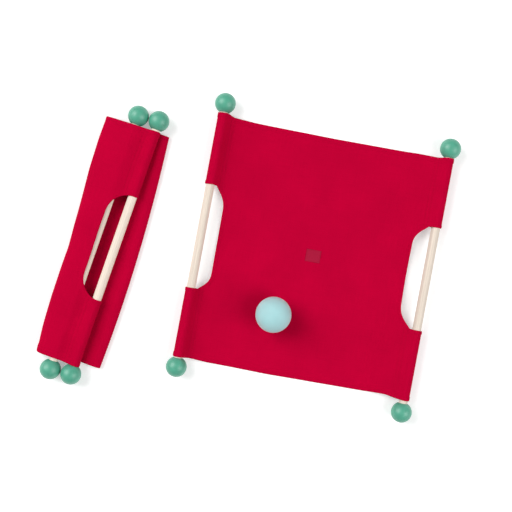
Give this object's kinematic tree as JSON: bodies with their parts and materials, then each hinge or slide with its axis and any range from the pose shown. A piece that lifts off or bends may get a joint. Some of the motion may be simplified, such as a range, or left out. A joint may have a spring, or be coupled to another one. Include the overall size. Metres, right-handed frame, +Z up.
{
  "type": "toss-and-catch cloth set",
  "caption": "Toss-and-catch game: canvas catch sheets with a dowel in a sewn casing on opposite sides, grip cut-outs, ball-ended dowels and a soft ball; one sheet spread, one folded.",
  "frame": {"origin": "on the floor, under the middle of the spread sheet", "axes": "+Y along the spread catcher's dowels, +X across it away from the folded catcher, +Z up"},
  "size_m": [0.6449, 0.5303, 0.0613],
  "materials": {
    "red_canvas": "plain-woven cotton canvas, matt",
    "patch_cloth": "blank woven tape, matt",
    "natural_wood": "sanded pale hardwood",
    "green_paint": "turned hardwood, satin green paint",
    "aqua_rubber": "soft rubber, matt"
  },
  "bodies": {
    "spread_sheet": {"spread_sheet_middle": "red_canvas", "sewn_patch": "patch_cloth"},
    "spread_left_flap": {"spread_sheet_left_flap": "red_canvas"},
    "spread_right_flap": {"spread_sheet_right_flap": "red_canvas"},
    "spread_left_dowel": {"spread_left_dowel": "natural_wood", "spread_left_ball_far": "green_paint", "spread_left_ball_near": "green_paint"},
    "spread_right_dowel": {"spread_right_dowel": "natural_wood", "spread_right_ball_far": "green_paint", "spread_right_ball_near": "green_paint"},
    "folded_sheet": {"folded_sheet_under_layers": "red_canvas", "folded_sheet_inner_layers": "red_canvas"},
    "folded_upper_flap": {"folded_sheet_upper_flap": "red_canvas"},
    "folded_upper_dowel": {"folded_upper_dowel": "natural_wood", "folded_upper_ball_far": "green_paint", "folded_upper_ball_near": "green_paint"},
    "folded_lower_dowel": {"folded_lower_dowel": "natural_wood", "folded_lower_ball_far": "green_paint", "folded_lower_ball_near": "green_paint"},
    "toss_ball": {"toss_ball": "aqua_rubber"}
  },
  "joints": [
    {"name": "spread_left_fold", "type": "hinge", "parent": "spread_sheet", "child": "spread_left_flap", "pos_m": [-0.102, 0, 0.0012], "axis": [0, 1, 0], "range_deg": [0, 110]},
    {"name": "spread_right_fold", "type": "hinge", "parent": "spread_sheet", "child": "spread_right_flap", "pos_m": [0.102, 0, 0.0012], "axis": [0, -1, 0], "range_deg": [0, 158]},
    {"name": "spread_left_dowel_turn", "type": "hinge", "parent": "spread_left_flap", "child": "spread_left_dowel", "pos_m": [-0.193, 0, 0.0175], "axis": [0, 1, 0], "continuous": true},
    {"name": "spread_right_dowel_turn", "type": "hinge", "parent": "spread_right_flap", "child": "spread_right_dowel", "pos_m": [0.193, 0, 0.0175], "axis": [0, 1, 0], "continuous": true},
    {"name": "folded_catcher_lift", "type": "slide", "parent": "spread_sheet", "child": "folded_sheet", "axis": [0, 0, 1], "range_m": [0, 0.12]},
    {"name": "folded_upper_unfold", "type": "hinge", "parent": "folded_sheet", "child": "folded_upper_flap", "pos_m": [-0.40535, -0.03352, 0.0096], "axis": [-0.1168, -0.9932, 0], "range_deg": [0, 165]},
    {"name": "folded_upper_dowel_turn", "type": "hinge", "parent": "folded_upper_flap", "child": "folded_upper_dowel", "pos_m": [-0.3312, -0.0448, 0.0175], "axis": [0.1504, 0.9886, 0], "continuous": true},
    {"name": "folded_lower_dowel_turn", "type": "hinge", "parent": "folded_sheet", "child": "folded_lower_dowel", "pos_m": [-0.3662, -0.03948, 0.0175], "axis": [0.1504, 0.9886, 0], "continuous": true},
    {"name": "toss_ball_lift", "type": "slide", "parent": "spread_sheet", "child": "toss_ball", "axis": [0, 0, 1], "range_m": [0, 0.15]}
  ]
}
